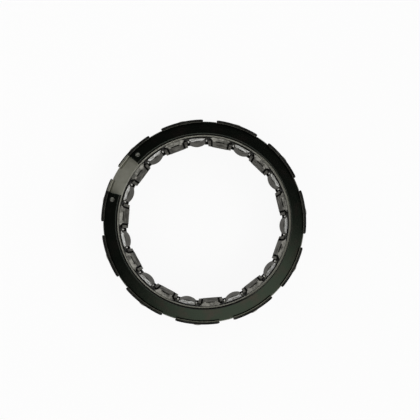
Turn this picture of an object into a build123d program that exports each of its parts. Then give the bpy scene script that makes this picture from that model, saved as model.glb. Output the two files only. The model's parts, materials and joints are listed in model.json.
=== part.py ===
from build123d import *

import math
import os

# A sprag clutch for a transmission. Its axis is Z, its rear end face lies on Z = 0 and its open
# front, with the snap ring, faces +Z. One lug of the outer race is centred on +X. Millimetres.

# Driving sizes
LUG_COUNT = 11
LUG_RADIUS = 60.0
HEIGHT = 24.0
WALL = 4.34
SPRAG_SPACE = 7.0

# Outer race: lugs, gaps and the pilot pad on each lug
LUG_HEIGHT = 0.66
GAP_WIDTH = 5.8
FLANK_RUN = 2.7
FRONT_CHAMFER = 1.2
REAR_CHAMFER = 0.5
PAD_WIDTH = 5.7
PAD_HEIGHT = 0.9
PAD_BOTTOM = 3.0
PAD_FROM_FRONT = 2.2
FLANGE_THICKNESS = 1.6
LEAD_IN = 0.4

# Retaining plate and snap ring, in the front of the race
BORE_CLEARANCE = 2.5
PLATE_THICKNESS = 1.6
PLATE_CHAMFER = 0.2
TAB_CORNER = 0.5
SNAP_RING_THICKNESS = 1.7
SNAP_RING_WIDTH = 7.15
SNAP_RING_CHAMFER = 0.2
SNAP_RING_GAP = 24.0
SNAP_RING_GAP_AT = 146.7
SNAP_RING_CORNER = 0.4
PLIER_HOLE_RADIUS = 1.4
PLIER_HOLE_FROM_END = 3.9
LIP_THICKNESS = 1.3
LIP_DEPTH = 1.0
TOWER_SETBACK = 1.2

# Sprags
OUTER_CAM_RADIUS = 3.8
INNER_CAM_RADIUS = 8.5
CAM_OFFSET = 0.4
HEAD_WIDTH = 9.8
SHOULDER_EDGE = 0.6
WAIST_WIDTH = 6.5
OUTER_CAM_HALF_ANGLE = 69
HEAD_CORNER = 0.4
FIRST_SPRAG_AT = -8.2

# Outer cage and its drag clips
OUTER_CAGE_THICKNESS = 0.8
OUTER_CAGE_FLANGE = 2.0
DRAG_CLIP_COUNT = 3
DRAG_CLIP_THICKNESS = 0.4
DRAG_CLIP_WIDTH = 4.5
DRAG_CLIP_MARGIN = 1.5
DRAG_CLIP_FOOT = 3.0

# Inner cage
INNER_CAGE_THICKNESS = 0.7
TIP_ABOVE_CAGE = 0.5
WINDOW_CORNER = 1.8
FRONT_BAND = 1.0
JOGGLE_LENGTH = 2.1
SLIT = 1.6
EAR_WIDTH = 1.05
EAR_BELOW_BEND = 0.3
EAR_DROP = 0.1
GROOVE_WIDTH = 0.9
GROOVE_DEPTH = 1.4
BAR_SLOT_MARGIN = 2.0
BAR_SLOT_HEIGHT = 1.2

# Ribbon spring
RIBBON_THICKNESS = 0.3
RIBBON_RAIL = 0.9
RIBBON_WINDOW_ROOM = 1.7
TONGUE_HEIGHT = 4.0
RELIEF_WIDTH = 5.0
RELIEF_HEIGHT = 9.0
FINGER_WIDTH = 0.8
FINGER_LENGTH = 3.6

# Clearances
RUNNING_GAP = 0.3
CAGE_GAP = 0.6
TILT_ROOM = 1.0
FIT_GAP = 0.15
RING_GAP = 0.05
FINGER_GAP = 0.25
FEED = 1.0

# Places that follow from the sizes above
PITCH = 360 / LUG_COUNT
ROOT_RADIUS = LUG_RADIUS - LUG_HEIGHT
RACEWAY_RADIUS = ROOT_RADIUS - WALL
GROOVE_TOP = HEIGHT - LIP_THICKNESS
PLATE_TOP = GROOVE_TOP - RING_GAP - SNAP_RING_THICKNESS
SEAT = PLATE_TOP - PLATE_THICKNESS
SNAP_RING_RADIUS = ROOT_RADIUS - LUG_HEIGHT
GROOVE_RADIUS = SNAP_RING_RADIUS + FIT_GAP
LIP_RADIUS = GROOVE_RADIUS - LIP_DEPTH
OPENING_WIDTH = GAP_WIDTH + 2 * TOWER_SETBACK

CAGE_BOTTOM = FLANGE_THICKNESS + RUNNING_GAP
CAGE_TOP = SEAT - RUNNING_GAP
MIDDLE = (CAGE_BOTTOM + CAGE_TOP) / 2
RIBBON_BOTTOM = CAGE_BOTTOM + INNER_CAGE_THICKNESS + RUNNING_GAP
RIBBON_TOP = CAGE_TOP - OUTER_CAGE_THICKNESS - RUNNING_GAP
SPRAG_BOTTOM = RIBBON_BOTTOM + RIBBON_RAIL + RUNNING_GAP
SPRAG_FRONT = RIBBON_TOP - RIBBON_RAIL - RUNNING_GAP

SPRAG_TOP = RACEWAY_RADIUS - RUNNING_GAP
TIP_RADIUS = RACEWAY_RADIUS - SPRAG_SPACE
INNER_CAM_CENTRE = TIP_RADIUS + INNER_CAM_RADIUS
HEAD_EDGE = INNER_CAM_CENTRE - math.sqrt(INNER_CAM_RADIUS ** 2 - (HEAD_WIDTH / 2 + CAM_OFFSET) ** 2)
SHOULDER = HEAD_EDGE + SHOULDER_EDGE
NECK = SHOULDER + HEAD_CORNER
BROW_DEPTH = OUTER_CAM_RADIUS * (1 - math.cos(math.radians(OUTER_CAM_HALF_ANGLE)))
BROW = SPRAG_TOP - BROW_DEPTH
WAIST = (NECK + BROW) / 2

OUTER_CAGE_RADIUS = RACEWAY_RADIUS - CAGE_GAP
OUTER_CAGE_BORE = OUTER_CAGE_RADIUS - OUTER_CAGE_THICKNESS
FLAT_RADIUS = TIP_RADIUS + TIP_ABOVE_CAGE
PLATE_BORE = TIP_RADIUS + BORE_CLEARANCE
BAND_BORE = PLATE_BORE
BEND = CAGE_TOP - FRONT_BAND - JOGGLE_LENGTH
FLOOR_RADIUS = PLATE_BORE + FIT_GAP
RIBBON_BORE = WAIST - RIBBON_THICKNESS / 2


def around(piece, count=LUG_COUNT, first=0.0):
    """Copies of a piece, evenly turned about the axis."""
    return [Rot(0, 0, first + step * 360 / count) * piece for step in range(count)]


def ring(inner, outer, bottom, top):
    """A flat ring about the axis."""
    return Pos(0, 0, bottom) * extrude(Circle(outer) - Circle(inner), top - bottom)


def block(inner, outer, width, bottom, top):
    """A block across +X, from one radius to another."""
    size = (outer - inner, width, top - bottom)
    return Pos(inner, 0, bottom) * Box(*size, align=(Align.MIN, Align.CENTER, Align.MIN))


def punch(width, bottom, top, corner, inner, outer):
    """A punch with rounded corners that pierces a wall along +X."""
    side = Plane(origin=(inner, 0, (bottom + top) / 2), x_dir=(0, 1, 0), z_dir=(1, 0, 0))
    return extrude(side * RectangleRounded(width, top - bottom, corner), outer - inner)


def half_gap():
    """Half of a gap between lugs: its floor, and a soft flank of two arcs that runs into the lug."""
    floor_at = math.asin(GAP_WIDTH / 2 / ROOT_RADIUS)
    top_at = math.asin((GAP_WIDTH / 2 + FLANK_RUN) / LUG_RADIUS)
    floor = Vector(ROOT_RADIUS * math.cos(floor_at), ROOT_RADIUS * math.sin(floor_at))
    top = Vector(LUG_RADIUS * math.cos(top_at), LUG_RADIUS * math.sin(top_at))
    middle = (floor + top) / 2
    low = ROOT_RADIUS - FEED
    rim = LUG_RADIUS + FEED
    foot = TangentArc(floor, middle, tangent=(-floor.Y, floor.X))
    crest = TangentArc(top, middle, tangent=(top.Y, -top.X))
    rest = Polyline(top, (rim, top.Y), (rim, 0), (low, 0), (low, floor.Y), floor)
    return make_face([foot, crest, rest]) - Circle(ROOT_RADIUS)


def lugged_outline():
    """The race seen along its axis: round, with a shallow gap between each two lugs."""
    half = half_gap()
    gap = half + mirror(half, Plane.XZ)
    return Circle(LUG_RADIUS) - around(gap, first=PITCH / 2)


def race_section():
    """Half of the race's turned section, with the lip and groove that hold the snap ring."""
    points = [
        (PLATE_BORE + LEAD_IN, 0),
        (LUG_RADIUS - REAR_CHAMFER, 0),
        (LUG_RADIUS, REAR_CHAMFER),
        (LUG_RADIUS, HEIGHT - FRONT_CHAMFER),
        (LUG_RADIUS - FRONT_CHAMFER, HEIGHT),
        (LIP_RADIUS + LEAD_IN / 2, HEIGHT),
        (LIP_RADIUS, HEIGHT - LEAD_IN / 2),
        (LIP_RADIUS, GROOVE_TOP),
        (GROOVE_RADIUS, GROOVE_TOP),
        (GROOVE_RADIUS, PLATE_TOP - RING_GAP),
        (LIP_RADIUS, PLATE_TOP - RING_GAP),
        (LIP_RADIUS, SEAT),
        (RACEWAY_RADIUS + LEAD_IN, SEAT),
        (RACEWAY_RADIUS, SEAT - LEAD_IN),
        (RACEWAY_RADIUS, FLANGE_THICKNESS),
        (PLATE_BORE, FLANGE_THICKNESS),
        (PLATE_BORE, LEAD_IN),
    ]
    return make_face(Polyline(*points, close=True))


def pilot_pad():
    """The crowned pad that stands out of one lug, with ramped ends."""
    half = PAD_WIDTH / 2
    crown = (half ** 2 + PAD_HEIGHT ** 2) / (2 * PAD_HEIGHT)
    top = LUG_RADIUS + PAD_HEIGHT
    inside = LUG_RADIUS - PAD_HEIGHT
    front = HEIGHT - PAD_FROM_FRONT
    outline = Pos(top - crown, 0) * Circle(crown) - Circle(inside)
    ramp = [(inside, PAD_BOTTOM), (LUG_RADIUS, PAD_BOTTOM), (top, PAD_BOTTOM + PAD_HEIGHT)]
    back = [(top, front - PAD_HEIGHT), (LUG_RADIUS, front), (inside, front)]
    envelope = make_face(Polyline(*ramp, *back, close=True))
    return extrude(outline, HEIGHT) & revolve(Plane.XZ * envelope, Axis.Z)


def make_outer_race():
    """The lugged ring: raceway, rear flange and the lug ends that grip the snap ring."""
    race = revolve(Plane.XZ * race_section(), Axis.Z)
    race &= extrude(lugged_outline(), HEIGHT)
    opening = block(LIP_RADIUS - FEED, LUG_RADIUS + FEED, OPENING_WIDTH, SEAT, HEIGHT + FEED)
    race -= around(opening, first=PITCH / 2)
    race += around(pilot_pad())
    return race


def make_retaining_plate():
    """The flat ring in front of the cages, with a tab in each gap between the lug ends."""
    width = OPENING_WIDTH - 2 * FIT_GAP
    tab = Circle(ROOT_RADIUS) & Pos(ROOT_RADIUS, 0) * Rectangle(2 * LUG_HEIGHT + 4, width)
    corners = tab.vertices().sort_by(Axis.X)[-2:]
    tab = fillet(corners, TAB_CORNER)
    face = Circle(LIP_RADIUS - FIT_GAP) + around(tab, first=PITCH / 2)
    face -= Circle(PLATE_BORE)
    plate = Pos(0, 0, SEAT) * extrude(face, PLATE_THICKNESS)
    bore_edges = plate.edges().filter_by(GeomType.CIRCLE).filter_by(is_plate_bore)
    return chamfer(bore_edges, PLATE_CHAMFER)


def is_plate_bore(edge):
    """True for the two round edges of the plate's bore."""
    return abs(edge.radius - PLATE_BORE) < FIT_GAP / 2


def make_snap_ring():
    """The open flat ring with square ends, and a hole for pliers near each end."""
    outer = SNAP_RING_RADIUS
    inner = outer - SNAP_RING_WIDTH
    middle = (outer + inner) / 2
    half_gap = SNAP_RING_GAP / 2
    sweep_angle = 360 - SNAP_RING_GAP
    outer_arc = CenterArc((0, 0), outer, half_gap, sweep_angle)
    inner_arc = CenterArc((0, 0), inner, half_gap, sweep_angle)
    ends = [Line(outer_arc @ 0, inner_arc @ 0), Line(outer_arc @ 1, inner_arc @ 1)]
    face = make_face([outer_arc, inner_arc, *ends])
    face = fillet(face.vertices(), SNAP_RING_CORNER)
    hole_at = half_gap + math.degrees(PLIER_HOLE_FROM_END / middle)
    for angle in (hole_at, -hole_at):
        face -= Rot(0, 0, angle) * Pos(middle, 0) * Circle(PLIER_HOLE_RADIUS)
    blank = Pos(0, 0, PLATE_TOP) * extrude(face, SNAP_RING_THICKNESS)
    rims = blank.edges().filter_by(GeomType.CIRCLE).filter_by(is_snap_ring_rim)
    return Rot(0, 0, SNAP_RING_GAP_AT) * chamfer(rims, SNAP_RING_CHAMFER)


def is_snap_ring_rim(edge):
    """True for the snap ring's long outer and inner edges on its front face."""
    long_edge = edge.radius > SNAP_RING_RADIUS - SNAP_RING_WIDTH - FIT_GAP
    return long_edge and edge.center().Z > PLATE_TOP + SNAP_RING_THICKNESS / 2


def sprag_outline():
    """One sprag seen along the axis: two cams with offset centres, and a waist between them."""
    half = HEAD_WIDTH / 2
    low_edge = INNER_CAM_CENTRE - math.sqrt(INNER_CAM_RADIUS ** 2 - (half - CAM_OFFSET) ** 2)
    neck_half = half - 2 * HEAD_CORNER
    brow_half = OUTER_CAM_RADIUS * math.sin(math.radians(OUTER_CAM_HALF_ANGLE))
    inner_cam = ThreePointArc((HEAD_EDGE, -half), (TIP_RADIUS, CAM_OFFSET), (low_edge, half))
    outer_cam = ThreePointArc((BROW, brow_half), (SPRAG_TOP, 0), (BROW, -brow_half))
    edges = [inner_cam, outer_cam]
    for side, start in ((1, low_edge), (-1, HEAD_EDGE)):
        edges.append(Polyline((start, side * half), (SHOULDER, side * half), (NECK, side * neck_half)))
        waist_point = (WAIST, side * WAIST_WIDTH / 2)
        edges.append(ThreePointArc((NECK, side * neck_half), waist_point, (BROW, side * brow_half)))
    face = make_face(edges)
    cam_ends = face.vertices().sort_by(Axis.X)[:2]
    return fillet(cam_ends, HEAD_CORNER)


def make_sprag():
    """One sprag, on +X."""
    return Pos(0, 0, SPRAG_BOTTOM) * extrude(sprag_outline(), SPRAG_FRONT - SPRAG_BOTTOM)


def make_outer_cage():
    """The stamped cage beside the raceway: a band with a window for each sprag's outer cam."""
    middle = OUTER_CAGE_RADIUS - OUTER_CAGE_THICKNESS / 2
    flange_at = CAGE_TOP - OUTER_CAGE_THICKNESS / 2
    path = Polyline((middle, CAGE_BOTTOM), (middle, flange_at), (middle - OUTER_CAGE_FLANGE, flange_at))
    cage = revolve(Plane.XZ * trace(path, OUTER_CAGE_THICKNESS), Axis.Z)
    wall = (OUTER_CAGE_BORE - OUTER_CAGE_FLANGE / 2, OUTER_CAGE_RADIUS + FEED)
    ends = (SPRAG_BOTTOM - RUNNING_GAP, SPRAG_FRONT + RUNNING_GAP)
    cage -= around(block(*wall, outer_window_width(), *ends), first=FIRST_SPRAG_AT)
    room = DRAG_CLIP_WIDTH / 2 + RUNNING_GAP
    slot = block(*wall, 2 * drag_clip_half_span() - RUNNING_GAP, MIDDLE - room, MIDDLE + room)
    for angle in drag_clip_angles():
        cage -= Rot(0, 0, angle) * slot
    return cage


def outer_window_width():
    """Width of the outer cage's windows: the outer cam where it enters the band, and room to tilt."""
    depth = SPRAG_TOP - OUTER_CAGE_BORE
    chord = 2 * math.sqrt(OUTER_CAM_RADIUS ** 2 - (OUTER_CAM_RADIUS - depth) ** 2)
    return chord + 2 * TILT_ROOM


def drag_clip_angles():
    """Where the drag clips sit: in the middle of bars that are about evenly spread."""
    bars = [round(step * LUG_COUNT / DRAG_CLIP_COUNT) for step in range(DRAG_CLIP_COUNT)]
    return [FIRST_SPRAG_AT + (bar + 0.5) * PITCH for bar in bars]


def drag_clip_half_span():
    """Half the bowed length of a drag clip: what its feet and a margin leave of its bar."""
    half_bar = math.pi * OUTER_CAGE_BORE / LUG_COUNT - outer_window_width() / 2
    return half_bar - DRAG_CLIP_FOOT - DRAG_CLIP_MARGIN


def make_drag_clip():
    """A bowed leaf, on +X: its crown stands through the cage and its feet lie under the band."""
    foot = OUTER_CAGE_BORE - FINGER_GAP - DRAG_CLIP_THICKNESS / 2
    crown = RACEWAY_RADIUS - FINGER_GAP - DRAG_CLIP_THICKNESS / 2
    turn = math.degrees(math.asin(drag_clip_half_span() / foot))
    reach = math.degrees(DRAG_CLIP_FOOT / foot)
    left = CenterArc((0, 0), foot, -turn - reach, reach)
    right = CenterArc((0, 0), foot, turn, reach)
    bow = ThreePointArc(left @ 1, (crown, 0), right @ 0)
    leaf = trace([left, bow, right], DRAG_CLIP_THICKNESS)
    return Pos(0, 0, MIDDLE - DRAG_CLIP_WIDTH / 2) * extrude(leaf, DRAG_CLIP_WIDTH)


def bar_half_width():
    """Half the flat width of an inner-cage bar: what a sprag, its slits, ears and grooves leave."""
    half_window = math.asin((HEAD_WIDTH / 2 + SLIT) / FLAT_RADIUS)
    ear_edge = FLAT_RADIUS * math.tan(math.pi / LUG_COUNT - half_window)
    return ear_edge - EAR_WIDTH - INNER_CAGE_THICKNESS - GROOVE_WIDTH


def cage_wall():
    """The inner cage's wall before piercing: flats behind, and a joggled band at the front."""
    turned = Rot(0, 0, FIRST_SPRAG_AT + PITCH / 2)
    outside = RegularPolygon(FLAT_RADIUS + INNER_CAGE_THICKNESS, LUG_COUNT, major_radius=False)
    inside = RegularPolygon(FLAT_RADIUS, LUG_COUNT, major_radius=False)
    flats = turned * Rot(0, 0, 180 / LUG_COUNT) * (outside - inside)
    wall = Pos(0, 0, CAGE_BOTTOM) * extrude(flats, BEND - CAGE_BOTTOM)
    half = INNER_CAGE_THICKNESS / 2
    joggle = Polyline(
        (FLAT_RADIUS + half, BEND - half),
        (FLAT_RADIUS + half, BEND),
        (BAND_BORE + half, CAGE_TOP - FRONT_BAND),
        (BAND_BORE + half, CAGE_TOP),
    )
    return wall + revolve(Plane.XZ * trace(joggle, INNER_CAGE_THICKNESS), Axis.Z)


def ear():
    """The groove and ear along one edge of a bar, seen along the axis, for the bar on +X."""
    half = INNER_CAGE_THICKNESS / 2
    start = bar_half_width()
    flat = FLAT_RADIUS + half
    floor = flat + GROOVE_DEPTH
    far = start + GROOVE_WIDTH + half
    path = Polyline(
        (flat, start - 3 * half),
        (flat, start - half),
        (floor, start - half),
        (floor, far),
        (flat + EAR_DROP, far),
        (flat + EAR_DROP, far + half + EAR_WIDTH),
    )
    return trace(path, INNER_CAGE_THICKNESS)


def make_inner_cage():
    """The stamped cage that lines the bore: bars with joggled fronts, grooves, ears and slots."""
    half_bar = bar_half_width()
    edge = math.hypot(FLAT_RADIUS, half_bar)
    window_half = edge * math.sin(math.pi / LUG_COUNT - math.atan(half_bar / FLAT_RADIUS))
    window = punch(
        2 * window_half,
        CAGE_BOTTOM - 2 * WINDOW_CORNER,
        CAGE_TOP - FRONT_BAND,
        WINDOW_CORNER,
        TIP_RADIUS - SPRAG_SPACE,
        OUTER_CAGE_BORE,
    )
    cage = cage_wall() - around(window, first=FIRST_SPRAG_AT)
    bars_at = FIRST_SPRAG_AT + PITCH / 2
    flange = Circle(OUTER_CAGE_BORE - CAGE_GAP) - Circle(FLOOR_RADIUS)
    foot_half = half_bar + GROOVE_WIDTH + INNER_CAGE_THICKNESS + EAR_WIDTH
    foot_length = FLOOR_RADIUS + INNER_CAGE_THICKNESS - FLAT_RADIUS - EAR_DROP
    foot = Pos(FLAT_RADIUS + EAR_DROP + foot_length / 2, 0) * Rectangle(foot_length, 2 * foot_half)
    flange += around(foot, first=bars_at)
    cage += Pos(0, 0, CAGE_BOTTOM) * extrude(flange, INNER_CAGE_THICKNESS)
    right = Pos(0, 0, CAGE_BOTTOM) * extrude(ear(), BEND - EAR_BELOW_BEND - CAGE_BOTTOM)
    cage += around(right, first=bars_at)
    cage += around(mirror(right, Plane.XZ), first=bars_at)
    slot_top = BEND + BAR_SLOT_HEIGHT / 2
    slot_width = 2 * (half_bar - BAR_SLOT_MARGIN)
    reach = (FLAT_RADIUS - FEED, RIBBON_BORE - FIT_GAP)
    slot = block(*reach, slot_width, slot_top - BAR_SLOT_HEIGHT, slot_top)
    return cage - around(slot, first=bars_at)


def make_ribbon_spring():
    """The thin band between the cages, windowed for the sprags, with two tongues beside each."""
    outer = RIBBON_BORE + RIBBON_THICKNESS
    spring = ring(RIBBON_BORE, outer, RIBBON_BOTTOM, RIBBON_TOP)
    reach = (RIBBON_BORE - FEED, outer + FEED)
    low = RIBBON_BOTTOM + RIBBON_RAIL
    high = RIBBON_TOP - RIBBON_RAIL
    tongue = TONGUE_HEIGHT / 2
    window = HEAD_WIDTH + 2 * RIBBON_WINDOW_ROOM
    cuts = [
        block(*reach, window, MIDDLE + tongue, high),
        block(*reach, window, low, MIDDLE - tongue),
        block(*reach, HEAD_WIDTH + 2 * FINGER_GAP, MIDDLE - 2 * tongue, MIDDLE + 2 * tongue),
    ]
    for cut in cuts:
        spring -= around(cut, first=FIRST_SPRAG_AT)
    relief = RELIEF_HEIGHT / 2
    hole = block(*reach, RELIEF_WIDTH, MIDDLE - relief, MIDDLE + relief)
    spring -= around(hole, first=FIRST_SPRAG_AT + PITCH / 2)
    side = HEAD_WIDTH / 2 + FINGER_GAP + FINGER_WIDTH / 2
    tip = TIP_RADIUS + 2 * FINGER_GAP + RIBBON_THICKNESS
    arm = block(tip, outer, FINGER_WIDTH, high, high + RIBBON_THICKNESS)
    arm += block(tip, tip + RIBBON_THICKNESS, FINGER_WIDTH, high - FINGER_LENGTH, high + RIBBON_THICKNESS)
    for place in (side, -side):
        spring += around(Pos(0, place, 0) * arm, first=FIRST_SPRAG_AT)
    return spring


def main():
    """Builds every piece and writes one STEP file for each."""
    pieces = {
        "outer_race": make_outer_race(),
        "retaining_plate": make_retaining_plate(),
        "snap_ring": make_snap_ring(),
        "outer_cage": make_outer_cage(),
        "inner_cage": make_inner_cage(),
        "ribbon_spring": make_ribbon_spring(),
    }
    for number, sprag in enumerate(around(make_sprag(), first=FIRST_SPRAG_AT), 1):
        pieces[f"sprag_{number:02d}"] = sprag
    clip = make_drag_clip()
    for number, angle in enumerate(drag_clip_angles(), 1):
        pieces[f"drag_clip_{number}"] = Rot(0, 0, angle) * clip
    os.makedirs("parts", exist_ok=True)
    for name, piece in pieces.items():
        export_step(piece, f"parts/{name}.step")


main()
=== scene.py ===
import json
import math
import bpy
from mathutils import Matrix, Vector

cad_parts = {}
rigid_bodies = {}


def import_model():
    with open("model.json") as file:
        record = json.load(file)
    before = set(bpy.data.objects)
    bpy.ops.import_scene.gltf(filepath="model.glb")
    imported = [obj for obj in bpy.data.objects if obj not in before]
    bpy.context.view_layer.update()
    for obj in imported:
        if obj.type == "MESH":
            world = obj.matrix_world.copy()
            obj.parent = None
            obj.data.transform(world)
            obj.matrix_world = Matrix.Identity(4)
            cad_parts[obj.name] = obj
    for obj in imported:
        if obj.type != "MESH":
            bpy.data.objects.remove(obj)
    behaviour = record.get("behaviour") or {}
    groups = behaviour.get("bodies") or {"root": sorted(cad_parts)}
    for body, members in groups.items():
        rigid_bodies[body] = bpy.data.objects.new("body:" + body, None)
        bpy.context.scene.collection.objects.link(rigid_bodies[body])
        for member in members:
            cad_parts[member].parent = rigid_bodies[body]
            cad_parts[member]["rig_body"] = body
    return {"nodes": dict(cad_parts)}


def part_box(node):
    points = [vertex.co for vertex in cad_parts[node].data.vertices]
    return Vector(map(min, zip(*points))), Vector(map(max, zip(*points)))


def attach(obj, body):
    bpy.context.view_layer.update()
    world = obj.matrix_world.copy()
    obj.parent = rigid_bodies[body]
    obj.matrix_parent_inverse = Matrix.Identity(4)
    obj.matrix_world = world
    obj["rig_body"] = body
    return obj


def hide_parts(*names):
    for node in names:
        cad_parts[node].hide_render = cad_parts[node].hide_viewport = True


bl_info = {
    "name": "Sprag Clutch Finish",
    "version": (1, 0, 0),
    "blender": (4, 5, 0),
    "location": "3D View > Sidebar > Clutch",
    "description": "Finishes the steel pieces of a sprag clutch and sets its studio around it",
    "category": "Object",
}

import bmesh
import bpy
from mathutils import Matrix, Vector

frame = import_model()

MM = 0.001
EDGE = "edge"
SPRAGS = sorted(name for name in frame["nodes"] if name.startswith("sprag_"))
CLIPS = sorted(name for name in frame["nodes"] if name.startswith("drag_clip_"))

# Where a finish changes, as heights along the axis, radii from it and angles round it.
# Race: its front, the feet of its pads, the groove behind its lip and the lip's edge
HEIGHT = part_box("outer_race")[1].z
PAD_FOOT = 60.15 * MM
GROOVE_EDGE = 58.9 * MM
LIP_EDGE = 58.1 * MM

# Plate and snap ring: their bores, the ring's gap, the painted light under the ring's two holes, and the
# side where the painted shade at the ring is left out
PLATE_BORE = 50.5 * MM
RING_WIDTH = 7.15 * MM
RING_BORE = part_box("snap_ring")[1].x - RING_WIDTH
GAP_START = math.radians(134.7)
GAP_END = math.radians(158.7)
GAP_MIDDLE = (GAP_START + GAP_END) / 2
HOLES_AT = 55.1 * MM
HOLES_ASIDE = math.radians(16.06)
HOLE_LIGHT_REACH = 1.3 * MM
HOLE_LIGHT_HALF = math.radians(1.5)
UNSHADED_AT = math.radians(-10.0)

# Inner cage: its windows and their legs, its front band, the bend of its bars and their grooves
PITCH = math.radians(360 / len(SPRAGS))
FIRST_WINDOW = math.radians(-8.2)
WINDOW_HALF = math.radians(10.4)
LEG_INNER = math.radians(9.8)
LEG_OUTER = math.radians(10.9)
BAND_FOOT = 18.0 * MM
BEND = 15.95 * MM
GROOVE_FOOT = 49.4 * MM

# Sprags: their front ends, and where those come clean and take a painted highlight. Spring: where its
# fingers start, and its painted shade behind them
SPRAG_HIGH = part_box(SPRAGS[0])[1].z
SPRAG_FOOT = 48.25 * MM
FINGER_FOOT = 50.6 * MM

# How soft a border between two finishes is, round the axis and along a radius
BLEND = math.radians(0.4)
SOFT = 0.3 * MM

# Lines along X, and along the axis: grains for each metre along X, Y and Z
GROUND_LINES = (60.0, 3500.0, 60.0)
DRAWN_LINES = (1800.0, 1800.0, 40.0)

# Grain that runs round the axis: grains for each metre of radius and of height, and for each radian
TURNED_MARKS = (1 / MM, 1 / MM, 0.6)
RING_RUBS = (1 / MM, 1 / MM, 1.2)
ROLLED_SHEET = (0.4 / MM, 3.0 / MM, 8.0)
TUMBLED_STREAKS = (1 / MM, 1 / MM, 9.0)
ROLLED_STRIP = (0.2 / MM, 6.0 / MM, 3.0)

# How scale and a film of oil dull the reflections of steel
OILY_SPECULAR = 0.1
SCALE_TINT = (0.5, 0.5, 0.5, 1.0)
OIL_TINT = (0.4, 0.39, 0.37, 1.0)

# Making of the rounded pieces
WELD = 0.002 * MM
FLAT_ANGLE = math.radians(1.0)
SHARP_ANGLE = math.radians(28.0)
EDGE_SEGMENTS = 2

# The bench and the room
BENCH_HALF = 3.0
BENCH_CELLS = 8
BENCH_GLOW = 0.93
BENCH_GRAIN = 900.0
HORIZON_TOP = math.sin(math.radians(32.0))
WALL_FOOT = math.sin(math.radians(40.0))
WALL_TOP = math.sin(math.radians(54.0))
FAR_WALL = 0.25
WINDOW_SPREAD = 0.7
CLIP_START = 0.01


# Shader maths


class Socket:
    """One output of a node, used in sums: each operator adds the Math node that it needs."""

    def __init__(self, finish, node, output=0):
        self.finish = finish
        self.node = node
        self.socket = node.outputs[output] if node.outputs else None

    def out(self, output):
        """Another output of the same node."""
        return Socket(self.finish, self.node, output)

    def math(self, operation, *values):
        """A Math node with this socket as its first value."""
        return self.finish.math(operation, self, *values)

    def __add__(self, other):
        return self.math("ADD", other)

    def __radd__(self, other):
        return self.finish.math("ADD", other, self)

    def __sub__(self, other):
        return self.math("SUBTRACT", other)

    def __rsub__(self, other):
        return self.finish.math("SUBTRACT", other, self)

    def __mul__(self, other):
        return self.math("MULTIPLY", other)

    def __rmul__(self, other):
        return self.finish.math("MULTIPLY", other, self)

    def __truediv__(self, other):
        return self.math("DIVIDE", other)

    def clamp(self):
        """The value kept between 0 and 1."""
        return self.finish.node("ShaderNodeClamp", inputs={0: self})

    def ramp(self, low, high):
        """0 below low, 1 above high, and smooth between."""
        settings = {"interpolation_type": "SMOOTHSTEP"}
        return self.finish.node("ShaderNodeMapRange", settings, {0: self, 1: low, 2: high})

    def past(self, edge, start, end):
        """0 until start past an edge, 1 from end past it, both in millimetres, and smooth between."""
        return self.ramp(edge + start * MM, edge + end * MM)

    def between(self, low, high, blend):
        """1 between two values, and 0 from blend outside them."""
        return self.ramp(low - blend, low) * (1 - self.ramp(high, high + blend))


class Finish:
    """One material or world, with the short ways to write its maths."""

    def __init__(self, name, kind=bpy.data.materials):
        self.made = kind.new(name)
        self.made.use_nodes = True
        self.tree = self.made.node_tree
        self.tree.nodes.clear()

    def node(self, kind, settings=None, inputs=None, output=0):
        """A node of a kind, with its settings first and then the values or links of its sockets."""
        made = self.tree.nodes.new(kind)
        for name, value in (settings or {}).items():
            setattr(made, name, value)
        for key, value in (inputs or {}).items():
            if isinstance(value, Socket):
                self.tree.links.new(value.socket, made.inputs[key])
            else:
                made.inputs[key].default_value = value
        return Socket(self, made, output)

    def math(self, operation, *values):
        """A Math node on sockets and numbers."""
        return self.node("ShaderNodeMath", {"operation": operation}, dict(enumerate(values)))

    def mix(self, factor, first, second):
        """A blend from the first colour to the second."""
        settings = {"data_type": "RGBA"}
        return self.node("ShaderNodeMix", settings, {0: factor, 6: first, 7: second}, 2)

    def scaled(self, vector, factors):
        """A vector times a number for each axis."""
        return self.node("ShaderNodeVectorMath", {"operation": "MULTIPLY"}, {0: vector, 1: factors})

    def place(self):
        """Where a point lies on its piece, in metres."""
        return self.node("ShaderNodeTexCoord", output="Object")

    def about_axis(self):
        """Radius, height and angle of a point about the clutch's axis."""
        x = self.node("ShaderNodeSeparateXYZ", inputs={0: self.place()})
        y = x.out(1)
        return (x * x + y * y).math("SQRT"), x.out(2), y.math("ARCTAN2", x)

    def turned(self):
        """Radius, height and angle about the clutch's axis, as one vector."""
        return self.node("ShaderNodeCombineXYZ", inputs=dict(enumerate(self.about_axis())))

    def noise(self, vector, scale, detail=4.0, roughness=0.6):
        """Grain that repeats nowhere, from 0 to 1."""
        inputs = {"Vector": vector, "Scale": scale, "Detail": detail, "Roughness": roughness}
        return self.node("ShaderNodeTexNoise", {"noise_dimensions": "3D"}, inputs)

    def edge(self):
        """1 on the rounded edges of a piece and 0 elsewhere."""
        return self.node("ShaderNodeAttribute", {"attribute_name": EDGE}, output="Fac")

    def bump(self, height, depth, normal=None):
        """A surface that rises by depth, in millimetres, where height is 1."""
        inputs = {"Height": height, "Distance": depth * MM, "Strength": 1.0}
        if normal:
            inputs["Normal"] = normal
        return self.node("ShaderNodeBump", inputs=inputs)

    def surface(self, **inputs):
        """Ends the material in a Principled shader with these inputs."""
        names = {name.replace("_", " ").title(): value for name, value in inputs.items()}
        names = {name.replace("Ior", "IOR"): value for name, value in names.items()}
        shader = self.node("ShaderNodeBsdfPrincipled", inputs=names)
        self.node("ShaderNodeOutputMaterial", inputs={"Surface": shader})
        return self.made


def rgba(colour):
    """A colour property as the four numbers that a socket takes."""
    return (*colour[:3], 1.0)


def shade(colour, factor):
    """A darker or lighter copy of a colour."""
    return tuple(min(1.0, part * factor) for part in colour[:3]) + (1.0,)


# Finishes


def in_ring_gap(angle):
    """1 between the two ends of the snap ring."""
    return angle.between(GAP_START + BLEND, GAP_END - BLEND, BLEND)


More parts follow.
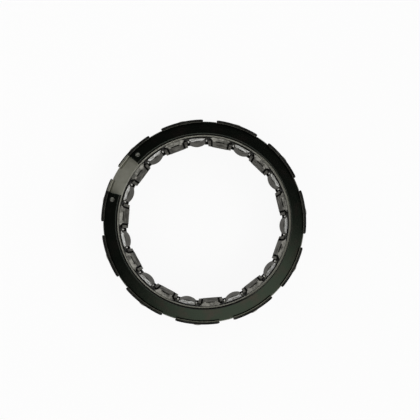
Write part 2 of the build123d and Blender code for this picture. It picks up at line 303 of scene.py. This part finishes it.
def race_steel(looks):
    """Hardened race: black scale, rubbed pale on the pads and the lip, and bare in the ring's gap."""
    finish = Finish("hardened_race_steel")
    place = finish.place()
    radius, height, angle = finish.about_axis()
    marks = finish.noise(finish.scaled(finish.turned(), TURNED_MARKS), 5.0, detail=3.0)
    patches = finish.noise(place, 160.0, detail=5.0, roughness=0.65)
    lines = finish.noise(finish.scaled(place, GROUND_LINES), 1.0, detail=3.0)
    scale = patches.ramp(0.36, 0.66)

    front = height.past(HEIGHT, -0.05, -0.02)
    flat = height.past(HEIGHT, -0.015, -0.005)
    pads = radius.past(PAD_FOOT, 0.0, 0.15) * (0.3 + 0.7 * scale)
    groove = 1 - radius.past(GROOVE_EDGE, 0.0, 0.1)
    lip = 1 - radius.past(LIP_EDGE, 0.0, 0.25)
    bare = in_ring_gap(angle) * (front + groove).clamp()
    thin = (0.05 * front + flat * lip).clamp()
    worn = (finish.edge() * looks.edge_wear * (patches - 0.15)).clamp()

    colour = finish.mix(scale, shade(looks.race_colour, 0.4), shade(looks.race_colour, 1.4))
    colour = finish.mix(worn, colour, shade(looks.worn_and_highlight_colour, 0.4))
    colour = finish.mix(thin, colour, shade(looks.plate_colour, 0.8))
    colour = finish.mix(pads, colour, shade(looks.worn_and_highlight_colour, 1.3))
    colour = finish.mix(bare, colour, rgba(looks.plate_colour))
    roughness = (0.38 + 0.06 * scale + 0.06 * marks + 0.04 * lines - 0.2 * thin).clamp()
    pits = finish.bump(patches, 0.03, finish.bump(marks, 0.006))
    return finish.surface(
        base_color=colour,
        metallic=1.0,
        roughness=roughness,
        normal=pits,
        specular_tint=SCALE_TINT,
    )


def black_oxide(looks):
    """Blanked spring steel under black oxide: near black, with brown mottle and painted shade on its
    bore.
    """
    finish = Finish("black_oxide_spring_steel")
    place = finish.place()
    radius = finish.about_axis()[0]
    rubs = finish.noise(finish.scaled(finish.turned(), RING_RUBS), 4.0, roughness=0.7)
    mottle = finish.noise(place, 140.0, detail=6.0)
    speck = finish.noise(place, 2600.0, detail=2.0, roughness=0.5)
    brown = mottle.ramp(0.45, 0.75)

    # Painted shade: the ring's bore is painted dark and dull, as the shade on the ring's inner side.
    bore = 1 - radius.past(RING_BORE, 0.05, 0.12)
    worn = (finish.edge() * looks.edge_wear * brown).clamp()

    colour = finish.mix(brown, rgba(looks.black_colour), rgba(looks.brown_colour))
    colour = finish.mix(worn, colour, shade(looks.worn_and_highlight_colour, 0.12))
    colour = finish.mix(bore, colour, shade(looks.oil_and_shade_colour, 0.1))
    roughness = (looks.black_roughness + 0.08 * mottle + 0.06 * rubs + 0.6 * bore).clamp()
    return finish.surface(
        base_color=colour,
        metallic=1 - bore,
        roughness=roughness,
        normal=finish.bump(speck + rubs, 0.004),
        specular_ior_level=OILY_SPECULAR,
    )


def ground_plate(looks):
    """Flat ground steel: grinding lines, dull patches, a bore wall painted darker as shade, painted shade
    at the ring's bore, and painted light under the ring's holes.
    """
    finish = Finish("ground_plate_steel")
    place = finish.place()
    radius, _, angle = finish.about_axis()
    lines = finish.noise(finish.scaled(place, GROUND_LINES), 1.0, detail=3.0)
    dull = finish.noise(place, 70.0).ramp(0.35, 0.7)

    face = radius.past(PLATE_BORE, 0.03, 0.15)
    # Painted shade: a dark, dull band on the plate at the ring's bore, left out in the ring's gap and on
    # the side toward UNSHADED_AT.
    unshaded_side = (angle - UNSHADED_AT).math("COSINE").ramp(0.45, 0.8)
    corner = radius.between(RING_BORE - 0.45 * MM, RING_BORE + 0.2 * MM, SOFT)
    corner = corner * (1 - in_ring_gap(angle)) * (1 - unshaded_side)
    # Painted light: the plate under the ring's two holes is painted lighter and dull, in place of the
    # light the holes let in.
    from_hole = ((angle - GAP_MIDDLE).math("ABSOLUTE") - HOLES_ASIDE).math("ABSOLUTE")
    hole_light = radius.between(HOLES_AT - HOLE_LIGHT_REACH, HOLES_AT + HOLE_LIGHT_REACH, SOFT)
    hole_light = hole_light * (1 - from_hole.ramp(HOLE_LIGHT_HALF, HOLE_LIGHT_HALF + BLEND))

    colour = finish.mix(dull, shade(looks.plate_colour, 0.88), shade(looks.plate_colour, 1.12))
    # Painted shade: the plate's bore wall is painted a darker copy of the plate's own steel.
    colour = finish.mix(face, shade(looks.plate_colour, 0.32), colour)
    colour = finish.mix(corner, colour, shade(looks.oil_and_shade_colour, 0.12))
    colour = finish.mix(hole_light, colour, shade(looks.worn_and_highlight_colour, 0.9))
    roughness = (0.36 + 0.06 * dull + 0.06 * lines + 0.5 * corner + 0.3 * hole_light).clamp()
    return finish.surface(
        base_color=colour,
        metallic=0.6 * (1 - corner) * (1 - hole_light),
        roughness=roughness,
        normal=finish.bump(lines, 0.003),
        specular_ior_level=OILY_SPECULAR,
    )


def inner_cage_painted_shade(radius, height, angle):
    """1 where shade is painted on the inner cage: in its grooves, over its windows and beside its legs.
    """
    turns = (angle - FIRST_WINDOW) / PITCH
    from_window = (turns - turns.math("ROUND")).math("ABSOLUTE") * PITCH
    groove = radius.past(GROOVE_FOOT, 0.0, 0.2) * (1 - height.past(BEND, 0.0, 1.0))
    over_window = 1 - from_window.ramp(WINDOW_HALF - BLEND, WINDOW_HALF + BLEND)
    brow = height.past(BAND_FOOT, -0.1, 0.1) * over_window
    legs = from_window.between(LEG_INNER, LEG_OUTER, BLEND) * (1 - height.past(BEND, 0.6, 1.2))
    return (groove + brow + legs).clamp()


def inner_cage_steel(looks):
    """Stamped sheet: a tumbled bright front, an oil-dark far half, and painted shade in the grooves, over
    the windows and beside the legs.
    """
    finish = Finish("stamped_inner_cage_steel")
    place = finish.place()
    radius, height, angle = finish.about_axis()
    dimples = finish.noise(place, 1500.0, detail=3.0, roughness=0.55)
    stain = finish.noise(place, 260.0, detail=5.0, roughness=0.7)
    stained = stain.ramp(0.4, 0.62)

    front = (height + (stain - 0.5) * 1.2 * MM).past(BEND, -0.6, 0.5)
    # Painted shade: the grooves, the band over the windows and the legs beside them are painted near
    # black and dull.
    painted_shade = 0.97 * inner_cage_painted_shade(radius, height, angle)
    worn = (finish.edge() * looks.edge_wear * front * (1 - painted_shade) * (0.3 + 0.7 * stain)).clamp()

    bright = finish.mix(stained, shade(looks.cage_colour, 0.4), shade(looks.cage_colour, 1.4))
    oily = finish.mix(stained, shade(looks.oil_and_shade_colour, 0.5), shade(looks.oil_and_shade_colour, 2.0))
    colour = finish.mix(front, oily, bright)
    colour = finish.mix(painted_shade, colour, shade(looks.oil_and_shade_colour, 0.08))
    colour = finish.mix(worn, colour, rgba(looks.worn_and_highlight_colour))
    roughness = (0.38 - 0.08 * stained + 0.12 * dimples - 0.06 * worn + 0.6 * painted_shade).clamp()
    return finish.surface(
        base_color=colour,
        metallic=(1 - painted_shade) * (0.7 + 0.3 * front),
        roughness=roughness,
        normal=finish.bump(dimples + 0.5 * stain, 0.01),
        specular_ior_level=OILY_SPECULAR,
        specular_tint=OIL_TINT,
    )


def outer_cage_steel(looks):
    """Stamped sheet painted dark all over as the shade inside the clutch, with stains and the grain of
    its rolling in relief.
    """
    finish = Finish("stamped_outer_cage_steel")
    rolled = finish.noise(finish.scaled(finish.turned(), ROLLED_SHEET), 1.6)
    stain = finish.noise(finish.place(), 200.0, detail=5.0, roughness=0.7)
    stained = stain.ramp(0.4, 0.66)
    worn = (finish.edge() * looks.edge_wear * stain * 0.4).clamp()

    # Painted shade: the whole sheet takes dark copies of the oil colour, as the shade inside the clutch.
    colour = finish.mix(stained, shade(looks.oil_and_shade_colour, 0.15), shade(looks.oil_and_shade_colour, 0.4))
    colour = finish.mix(worn, colour, shade(looks.worn_and_highlight_colour, 0.25))
    roughness = (0.55 - 0.1 * stained + 0.08 * rolled).clamp()
    return finish.surface(
        base_color=colour,
        metallic=0.3,
        roughness=roughness,
        normal=finish.bump(rolled, 0.006),
        specular_ior_level=OILY_SPECULAR,
    )


def sprag_steel(looks):
    """Drawn and ground bearing steel: lines along the cams, sheared ends with dark oil at their feet, a
    painted highlight on their ends' clean outer band, and painted shade under the plate and on the
    flanks' outer parts.
    """
    finish = Finish("ground_sprag_steel")
    place = finish.place()
    radius, height, _ = finish.about_axis()
    drawn = finish.noise(finish.scaled(place, DRAWN_LINES), 1.0, detail=3.0)
    sheared = finish.noise(place, 1800.0, roughness=0.65)
    streaks = finish.noise(finish.scaled(finish.turned(), TUMBLED_STREAKS), 2.6, detail=3.0)
    soft = finish.noise(place, 300.0).ramp(0.35, 0.7)

    end = height.past(SPRAG_HIGH, -0.3, -0.1)
    # The clean outer band of each end is bare steel, painted near white and dull as a painted highlight.
    clean_and_highlit = (radius + (sheared - 0.5) * 1.2 * MM).past(SPRAG_FOOT, 0.0, 0.7)
    # Painted shade: the flanks' outer parts, inside the cages, are painted dark.
    flank = radius.past(SPRAG_FOOT, 1.3, 2.0) * (1 - end)
    # Painted shade: the end's outer edge under the plate is painted dark and dull as the plate's shadow.
    under = radius.past(PLATE_BORE, -0.35, -0.1) * end
    tumbled_and_highlit = end * clean_and_highlit * (1 - under)

    cam = finish.mix(soft, shade(looks.sprag_colour, 0.7), shade(looks.sprag_colour, 2.0))
    torn = sheared.ramp(0.4, 0.65)
    streaked = streaks.ramp(0.42, 0.58)
    oily = finish.mix(torn, shade(looks.oil_and_shade_colour, 0.2), shade(looks.sprag_colour, 1.2))
    # This bare colour runs up to near white: the painted highlight on the ends' clean band.
    bare = finish.mix(streaked, shade(looks.worn_and_highlight_colour, 0.8), shade(looks.worn_and_highlight_colour, 2.0))
    colour = finish.mix(end, cam, finish.mix(clean_and_highlit, oily, bare))
    colour = finish.mix(flank, colour, shade(looks.oil_and_shade_colour, 0.3))
    colour = finish.mix(under, colour, shade(looks.oil_and_shade_colour, 0.2))
    roughness = (0.3 + 0.1 * soft + 0.08 * drawn + 0.25 * tumbled_and_highlit + 0.4 * under).clamp()
    return finish.surface(
        base_color=colour,
        metallic=(1 - 0.85 * tumbled_and_highlit - 0.6 * under - 0.3 * (1 - end)).clamp(),
        roughness=roughness,
        normal=finish.bump(sheared, 0.006, finish.bump(drawn, 0.004)),
        specular_ior_level=OILY_SPECULAR,
        specular_tint=OIL_TINT,
    )


def spring_strip(looks):
    """Rolled spring strip: rolling lines, darker where tempered, and painted shade behind its fingers'
    tips.
    """
    finish = Finish("rolled_spring_strip")
    radius = finish.about_axis()[0]
    lines = finish.noise(finish.scaled(finish.turned(), ROLLED_STRIP), 1.0, detail=3.0)
    temper = finish.noise(finish.place(), 90.0, detail=3.0).ramp(0.4, 0.7)
    # Painted shade: the strip past the fingers' feet, deeper in the clutch, is painted dark and dull.
    deep = radius.past(FINGER_FOOT, 0.0, 0.3)

    colour = finish.mix(temper, rgba(looks.strip_colour), shade(looks.strip_colour, 0.7))
    colour = finish.mix(deep, colour, shade(looks.oil_and_shade_colour, 0.25))
    roughness = (0.26 + 0.1 * temper + 0.05 * lines + 0.3 * deep).clamp()
    return finish.surface(
        base_color=colour,
        metallic=1 - 0.8 * deep,
        roughness=roughness,
        normal=finish.bump(lines, 0.002),
        specular_ior_level=OILY_SPECULAR,
    )


# Pieces


def rounded_copy(node, name, radius):
    """A piece with the CAD node's form and rounded edges, which carry the edge attribute."""
    mesh = frame["nodes"][node].data.copy()
    mesh.name = name
    work = bmesh.new()
    work.from_mesh(mesh)
    layer = work.faces.layers.float.new(EDGE)
    bmesh.ops.remove_doubles(work, verts=work.verts, dist=WELD)
    bmesh.ops.dissolve_limit(work, angle_limit=FLAT_ANGLE, verts=work.verts, edges=work.edges)
    closed = [edge for edge in work.edges if len(edge.link_faces) == 2]
    made = bmesh.ops.bevel(
        work,
        geom=[edge for edge in closed if edge.calc_face_angle(0.0) > SHARP_ANGLE],
        offset=radius,
        offset_type="OFFSET",
        segments=EDGE_SEGMENTS,
        profile=0.5,
        affect="EDGES",
        clamp_overlap=True,
    )
    for face in made["faces"]:
        face[layer] = 1.0
    for face in work.faces:
        face.smooth = True
    bmesh.ops.recalc_face_normals(work, faces=work.faces)
    work.to_mesh(mesh)
    work.free()
    mesh.materials.clear()
    piece = bpy.data.objects.new(name, mesh)
    bpy.context.scene.collection.objects.link(piece)
    weighted = piece.modifiers.new("flat_faces", "WEIGHTED_NORMAL")
    weighted.keep_sharp = True
    return piece


def dress(node, name, radius, material):
    """Makes a node's rounded piece, gives it its finish and lets it ride in the node's place."""
    piece = rounded_copy(node, name, radius * MM)
    piece.data.materials.append(material)
    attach(piece, frame["nodes"][node]["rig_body"])
    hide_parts(node)


class ClutchLooks(bpy.types.PropertyGroup):
    """Sizes and colours of the clutch's finish."""

    sprag_edge: bpy.props.FloatProperty(
        name="Sprag edge",
        description="Radius of the sprags' rounded edges, in millimetres",
        default=0.15,
        min=0.02,
        max=0.4,
    )
    race_edge: bpy.props.FloatProperty(
        name="Race edge",
        description="Radius of the race's tumbled edges, in millimetres",
        default=0.22,
        min=0.02,
        max=0.4,
    )
    sheet_edge: bpy.props.FloatProperty(
        name="Sheet edge",
        description="Edge radius on plate and sheet, in millimetres, halved on the snap ring and springs",
        default=0.1,
        min=0.01,
        max=0.3,
    )
    edge_wear: bpy.props.FloatProperty(
        name="Edge wear",
        description="How bright the worn edges are",
        default=0.8,
        min=0.0,
        max=1.0,
        subtype="FACTOR",
    )
    race_colour: bpy.props.FloatVectorProperty(
        name="Race",
        description="Hardened steel of the outer race",
        default=(0.012, 0.012, 0.011),
        subtype="COLOR",
        min=0.0,
        max=1.0,
    )
    black_colour: bpy.props.FloatVectorProperty(
        name="Snap ring",
        description="Black oxide of the snap ring",
        default=(0.056, 0.068, 0.055),
        subtype="COLOR",
        min=0.0,
        max=1.0,
    )
    brown_colour: bpy.props.FloatVectorProperty(
        name="Snap ring mottle",
        description="Brown bloom in the snap ring's black oxide",
        default=(0.078, 0.068, 0.06),
        subtype="COLOR",
        min=0.0,
        max=1.0,
    )
    black_roughness: bpy.props.FloatProperty(
        name="Snap ring roughness",
        description="Roughness of the black oxide",
        default=0.15,
        min=0.0,
        max=1.0,
        subtype="FACTOR",
    )
    plate_colour: bpy.props.FloatVectorProperty(
        name="Plate",
        description="Ground steel of the retaining plate and the race beside it",
        default=(0.34, 0.335, 0.285),
        subtype="COLOR",
        min=0.0,
        max=1.0,
    )
    cage_colour: bpy.props.FloatVectorProperty(
        name="Inner cage",
        description="Bright stamped steel at the inner cage's front",
        default=(0.24, 0.235, 0.21),
        subtype="COLOR",
        min=0.0,
        max=1.0,
    )
    sprag_colour: bpy.props.FloatVectorProperty(
        name="Sprags",
        description="Ground steel of the sprags",
        default=(0.065, 0.064, 0.059),
        subtype="COLOR",
        min=0.0,
        max=1.0,
    )
    strip_colour: bpy.props.FloatVectorProperty(
        name="Springs",
        description="Bright strip of the ribbon spring and the drag clips",
        default=(0.28, 0.27, 0.24),
        subtype="COLOR",
        min=0.0,
        max=1.0,
    )
    # The oil colour is also the painted shade in the clutch's gaps, hollows and hidden parts.
    oil_and_shade_colour: bpy.props.FloatVectorProperty(
        name="Oily steel",
        description="Steel under a film of dark oil",
        default=(0.065, 0.064, 0.057),
        subtype="COLOR",
        min=0.0,
        max=1.0,
    )
    # The worn colour also gives the painted highlight on the sprags' ends and the painted light under the
    # ring's holes.
    worn_and_highlight_colour: bpy.props.FloatVectorProperty(
        name="Worn steel",
        description="Bare steel of worn edges, pads and sprag ends",
        default=(0.55, 0.54, 0.5),
        subtype="COLOR",
        min=0.0,
        max=1.0,
    )


class ClutchStudio(bpy.types.PropertyGroup):
    """Camera, light and room around the clutch."""

    camera_height: bpy.props.FloatProperty(
        name="Camera height",
        description="Height of the camera over the bench",
        default=0.228,
        unit="LENGTH",
        min=0.1,
    )
    camera_aside: bpy.props.FloatVectorProperty(
        name="Camera offset",
        description="Where the camera stands, right of and above the axis in the view",
        default=(0.0034, -0.0082),
        size=2,
        unit="LENGTH",
    )
    camera_roll: bpy.props.FloatProperty(
        name="Roll",
        description="Turn of the clutch in the view",
        default=math.radians(4.68),
        subtype="ANGLE",
    )
    camera_tilt: bpy.props.FloatVectorProperty(
        name="Tilt",
        description="How far the camera looks to the right and up from straight down",
        default=(math.radians(0.08), math.radians(3.92)),
        size=2,
        subtype="EULER",
    )
    camera_angle: bpy.props.FloatProperty(
        name="Field of view",
        description="The camera's angle of view",
        default=math.radians(61.75),
        subtype="ANGLE",
    )
    key_power: bpy.props.FloatProperty(
        name="Key light",
        description="Power of the large soft light",
        default=0.92,
        unit="POWER",
        min=0.0,
    )
    key_place: bpy.props.FloatVectorProperty(
        name="Key light's place",
        description="Right of, above and over the clutch in the view",
        default=(0.171, -0.402, 0.7),
        size=3,
        unit="LENGTH",
    )
    key_size: bpy.props.FloatVectorProperty(
        name="Key light's size",
        description="Width and depth of the large soft light",
        default=(0.42, 0.9),
        size=2,
        unit="LENGTH",
    )
    key_colour: bpy.props.FloatVectorProperty(
        name="Key light's colour",
        description="Colour of the large soft light",
        default=(0.95, 1.0, 0.88),
        subtype="COLOR",
        min=0.0,
        max=1.0,
    )
    wall_level: bpy.props.FloatProperty(
        name="Walls",
        description="Brightness of the room's walls",
        default=2.8,
        min=0.0,
    )
    window_at: bpy.props.FloatProperty(
        name="Window's direction",
        description="Where the brighter side of the room lies in the view",
        default=math.radians(-30.0),
        subtype="ANGLE",
    )
    ceiling_level: bpy.props.FloatProperty(
        name="Ceiling",
        description="Brightness of the ceiling over the bench",
        default=0.025,
        min=0.0,
    )
    bench_colour: bpy.props.FloatVectorProperty(
        name="Bench",
        description="Colour of the bench",
        default=(0.99, 0.99, 0.99),
        subtype="COLOR",
        min=0.0,
        max=1.0,
    )


class CLUTCH_OT_outer_race(bpy.types.Operator):
    """Finishes the lugged outer race"""

    bl_idname = "clutch.outer_race"
    bl_label = "Outer Race"

    def execute(self, context):
        looks = context.scene.clutch_looks
        dress("outer_race", "lugged_race", looks.race_edge, race_steel(looks))
        return {"FINISHED"}


class CLUTCH_OT_retaining_plate(bpy.types.Operator):
    """Finishes the retaining plate"""

    bl_idname = "clutch.retaining_plate"
    bl_label = "Retaining Plate"

    def execute(self, context):
        looks = context.scene.clutch_looks
        dress("retaining_plate", "ground_plate", looks.sheet_edge, ground_plate(looks))
        return {"FINISHED"}


class CLUTCH_OT_snap_ring(bpy.types.Operator):
    """Finishes the snap ring"""

    bl_idname = "clutch.snap_ring"
    bl_label = "Snap Ring"

    def execute(self, context):
        looks = context.scene.clutch_looks
        dress("snap_ring", "black_snap_ring", looks.sheet_edge / 2, black_oxide(looks))
        return {"FINISHED"}


class CLUTCH_OT_cages(bpy.types.Operator):
    """Finishes the outer and the inner cage"""

    bl_idname = "clutch.cages"
    bl_label = "Cages"

    def execute(self, context):
        looks = context.scene.clutch_looks
        edge = looks.sheet_edge
        dress("outer_cage", "stamped_outer_cage", edge, outer_cage_steel(looks))
        dress("inner_cage", "stamped_inner_cage", edge, inner_cage_steel(looks))
        return {"FINISHED"}


class CLUTCH_OT_springs(bpy.types.Operator):
    """Finishes the ribbon spring and the drag clips"""

    bl_idname = "clutch.springs"
    bl_label = "Springs"

    def execute(self, context):
        looks = context.scene.clutch_looks
        strip = spring_strip(looks)
        edge = looks.sheet_edge / 2
        dress("ribbon_spring", "ribbon_strip", edge, strip)
        for number, node in enumerate(CLIPS, 1):
            dress(node, f"drag_leaf_{number}", edge, strip)
        return {"FINISHED"}


class CLUTCH_OT_sprags(bpy.types.Operator):
    """Finishes the sprags"""

    bl_idname = "clutch.sprags"
    bl_label = "Sprags"

    def execute(self, context):
        looks = context.scene.clutch_looks
        steel = sprag_steel(looks)
        for number, node in enumerate(SPRAGS, 1):
            dress(node, f"ground_sprag_{number:02d}", looks.sprag_edge, steel)
        return {"FINISHED"}


# Stage


def bench_material(studio):
    """A pale bench that keeps the clutch's shadow and reads about as its own colour in the view."""
    finish = Finish("pale_bench")
    ray = finish.node("ShaderNodeLightPath", output="Is Camera Ray")
    seen = (ray + ray.out("Is Glossy Ray") + ray.out("Is Transmission Ray")).clamp()
    grain = finish.noise(finish.place(), BENCH_GRAIN, detail=3.0)
    paint = finish.mix(grain, shade(studio.bench_colour, 0.985), rgba(studio.bench_colour))
    diffuse = finish.node("ShaderNodeBsdfDiffuse", inputs={"Color": paint, "Roughness": 0.5})
    glow = finish.node("ShaderNodeEmission", inputs={"Color": rgba(studio.bench_colour), "Strength": 1.0})
    shader = finish.node("ShaderNodeMixShader", inputs={0: seen * BENCH_GLOW, 1: diffuse, 2: glow})
    finish.node("ShaderNodeOutputMaterial", inputs={"Surface": shader})
    return finish.made


def make_bench(studio):
    """A wide flat bench under the clutch, with its corners far out of sight."""
    work = bmesh.new()
    bmesh.ops.create_grid(work, x_segments=BENCH_CELLS, y_segments=BENCH_CELLS, size=BENCH_HALF)
    mesh = bpy.data.meshes.new("bench")
    work.to_mesh(mesh)
    work.free()
    mesh.materials.append(bench_material(studio))
    bench = bpy.data.objects.new("bench", mesh)
    bpy.context.scene.collection.objects.link(bench)


def view_axes(roll):
    """The directions in the model that are right and up in the view."""
    right = Vector((math.cos(roll), -math.sin(roll), 0.0))
    up = Vector((math.sin(roll), math.cos(roll), 0.0))
    return right, up


def make_key_light(studio):
    """A rectangular soft light that faces the clutch."""
    data = bpy.data.lights.new("key_light", "AREA")
    data.energy = studio.key_power
    data.shape = "RECTANGLE"
    data.size, data.size_y = studio.key_size
    data.color = studio.key_colour
    lamp = bpy.data.objects.new("key_light", data)
    right, up = view_axes(studio.camera_roll)
    aside, ahead, over = studio.key_place
    lamp.location = aside * right + ahead * up + Vector((0.0, 0.0, over))
    lamp.rotation_euler = (-lamp.location).to_track_quat("-Z", "Y").to_euler()
    bpy.context.scene.collection.objects.link(lamp)


def make_camera(studio):
    """The camera, nearly straight over the clutch and a little tilted."""
    data = bpy.data.cameras.new("camera")
    data.sensor_fit = "AUTO"
    data.angle = studio.camera_angle
    right, up = view_axes(studio.camera_roll)
    place = studio.camera_aside[0] * right + studio.camera_aside[1] * up
    place.z = studio.camera_height
    aside = math.tan(studio.camera_tilt[0])
    ahead = math.tan(studio.camera_tilt[1])
    look = (Vector((0.0, 0.0, -1.0)) + aside * right + ahead * up).normalized()
    side = look.cross(up).normalized()
    head = side.cross(look)
    turn = Matrix((side, head, -look)).transposed()
    camera = bpy.data.objects.new("camera", data)
    camera.matrix_world = Matrix.Translation(place) @ turn.to_4x4()
    data.clip_start = CLIP_START
    bpy.context.scene.collection.objects.link(camera)
    bpy.context.scene.camera = camera


def set_world(studio):
    """A room with an even pale horizon, walls brighter toward the window, and a dark ceiling."""
    finish = Finish("room", bpy.data.worlds)
    ray = finish.node("ShaderNodeTexCoord")
    rise = finish.node("ShaderNodeSeparateXYZ", inputs={0: ray}, output=2)
    right, up = view_axes(studio.camera_roll)
    window = math.cos(studio.window_at) * right + math.sin(studio.window_at) * up
    dot = {"operation": "DOT_PRODUCT"}
    toward = finish.node("ShaderNodeVectorMath", dot, {0: ray, 1: window}, "Value")
    walls = studio.wall_level * (FAR_WALL + toward.ramp(-WINDOW_SPREAD, WINDOW_SPREAD))
    above = rise.ramp(HORIZON_TOP, WALL_FOOT)
    ceiling = rise.ramp(WALL_FOOT, WALL_TOP)
    level = (1 - above) + walls * above
    level = level * (1 - ceiling) + studio.ceiling_level * ceiling
    colour = finish.node("ShaderNodeCombineColor", inputs={0: level, 1: level, 2: level})
    background = finish.node("ShaderNodeBackground", inputs={"Color": colour, "Strength": 1.0})
    finish.node("ShaderNodeOutputWorld", inputs={"Surface": background})
    bpy.context.scene.world = finish.made


class CLUTCH_OT_stage(bpy.types.Operator):
    """Sets the bench, the room, the light and the camera"""

    bl_idname = "clutch.stage"
    bl_label = "Stage"

    def execute(self, context):
        studio = context.scene.clutch_studio
        make_bench(studio)
        set_world(studio)
        make_key_light(studio)
        make_camera(studio)
        context.scene.view_settings.view_transform = "Standard"
        return {"FINISHED"}


class CLUTCH_PT_pieces(bpy.types.Panel):
    """Lists the clutch's pieces and its stage"""

    bl_idname = "CLUTCH_PT_pieces"
    bl_label = "Sprag Clutch"
    bl_space_type = "VIEW_3D"
    bl_region_type = "UI"
    bl_category = "Clutch"

    def draw(self, context):
        for group in (context.scene.clutch_looks, context.scene.clutch_studio):
            for name in group.__annotations__:
                self.layout.prop(group, name)
        for operator in OPERATORS:
            self.layout.operator(operator.bl_idname)


OPERATORS = (
    CLUTCH_OT_outer_race,
    CLUTCH_OT_retaining_plate,
    CLUTCH_OT_snap_ring,
    CLUTCH_OT_cages,
    CLUTCH_OT_springs,
    CLUTCH_OT_sprags,
    CLUTCH_OT_stage,
)
CLASSES = (ClutchLooks, ClutchStudio, *OPERATORS, CLUTCH_PT_pieces)


def register():
    """Adds the classes and the scene's settings."""
    for item in CLASSES:
        bpy.utils.register_class(item)
    bpy.types.Scene.clutch_looks = bpy.props.PointerProperty(type=ClutchLooks)
    bpy.types.Scene.clutch_studio = bpy.props.PointerProperty(type=ClutchStudio)


def unregister():
    """Takes the classes and the scene's settings away."""
    del bpy.types.Scene.clutch_studio
    del bpy.types.Scene.clutch_looks
    for item in reversed(CLASSES):
        bpy.utils.unregister_class(item)


def main():
    """Runs every operator in order."""
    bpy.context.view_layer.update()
    register()
    bpy.ops.clutch.outer_race()
    bpy.ops.clutch.retaining_plate()
    bpy.ops.clutch.snap_ring()
    bpy.ops.clutch.cages()
    bpy.ops.clutch.springs()
    bpy.ops.clutch.sprags()
    bpy.ops.clutch.stage()


if __name__ == "__main__":
    main()
